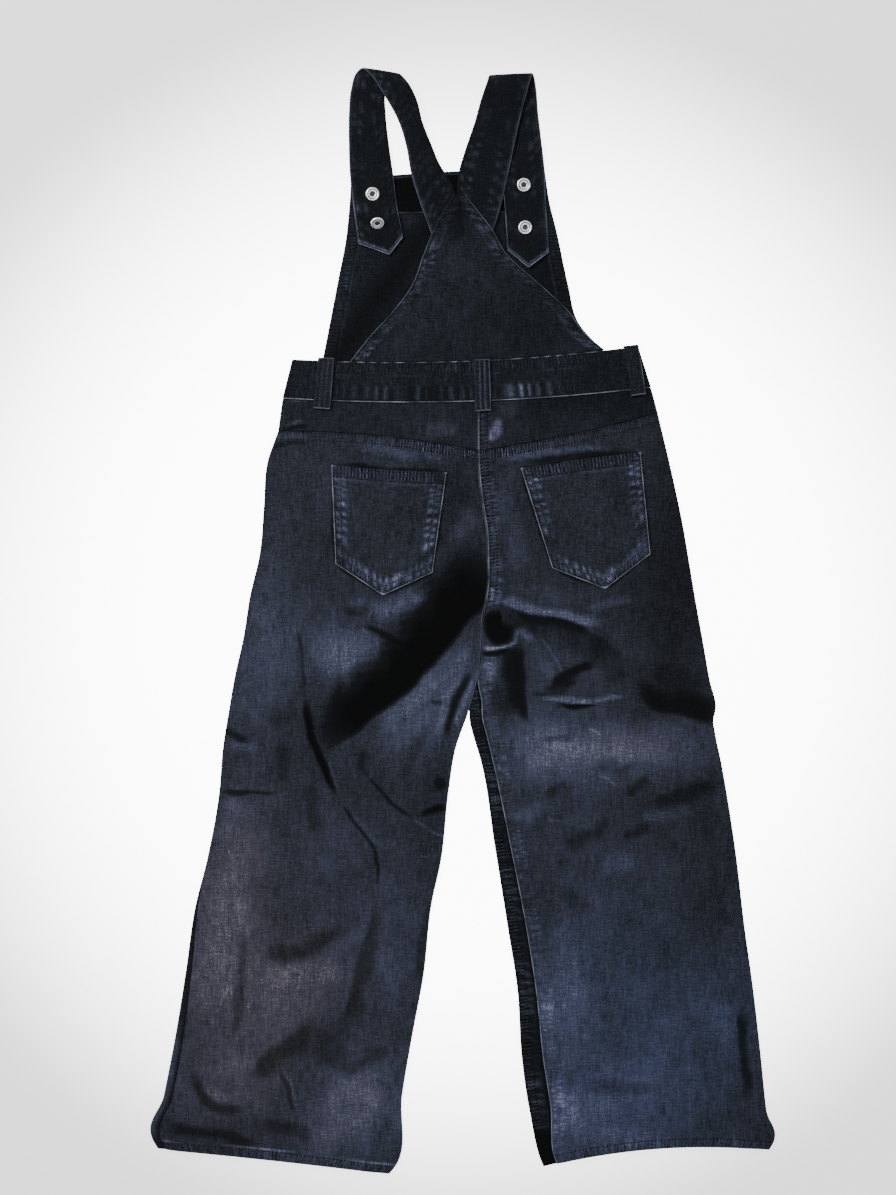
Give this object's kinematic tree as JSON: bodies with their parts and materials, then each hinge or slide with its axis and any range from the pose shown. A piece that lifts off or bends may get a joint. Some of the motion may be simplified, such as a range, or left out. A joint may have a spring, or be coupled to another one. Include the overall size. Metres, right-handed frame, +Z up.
{
  "type": "overalls",
  "caption": "Bib overalls with wide cropped legs in dark denim, laid flat with the back up: straps folded over onto the bib, patch pockets, yokes and belt loops.",
  "frame": {"origin": "centre of the bounding box, on the surface that the garment lies on", "axes": "+Y along the garment from the leg hems to the straps, +X to the right of the back view, +Z up out of the surface"},
  "size_m": [0.57, 1.0163, 0.0131],
  "materials": {
    "leg_denim": "worn stretch denim, matt, with a slight waxy bloom on the folds",
    "bib_denim": "near-black stretch denim, matt",
    "facing_denim": "black cotton, matt",
    "button_metal": "satin nickel plate, worn"
  },
  "bodies": {
    "root": {"front_leg_left": "leg_denim", "front_leg_right": "leg_denim", "front_waistband": "leg_denim", "back_leg_left": "leg_denim", "back_leg_right": "leg_denim", "yoke_left": "leg_denim", "yoke_right": "leg_denim", "pocket_left": "leg_denim", "pocket_right": "leg_denim", "back_waistband": "bib_denim", "belt_loop_left": "bib_denim", "belt_loop_centre": "bib_denim", "belt_loop_right": "bib_denim", "back_upper": "bib_denim", "bib": "bib_denim", "strap_left": "bib_denim", "strap_right": "bib_denim", "bib_facing": "facing_denim", "button_back_left_upper": "button_metal", "button_back_left_lower": "button_metal", "button_back_right_upper": "button_metal", "button_back_right_lower": "button_metal", "button_front_left_upper": "button_metal", "button_front_left_lower": "button_metal", "button_front_right_upper": "button_metal", "button_front_right_lower": "button_metal"}
  },
  "joints": []
}
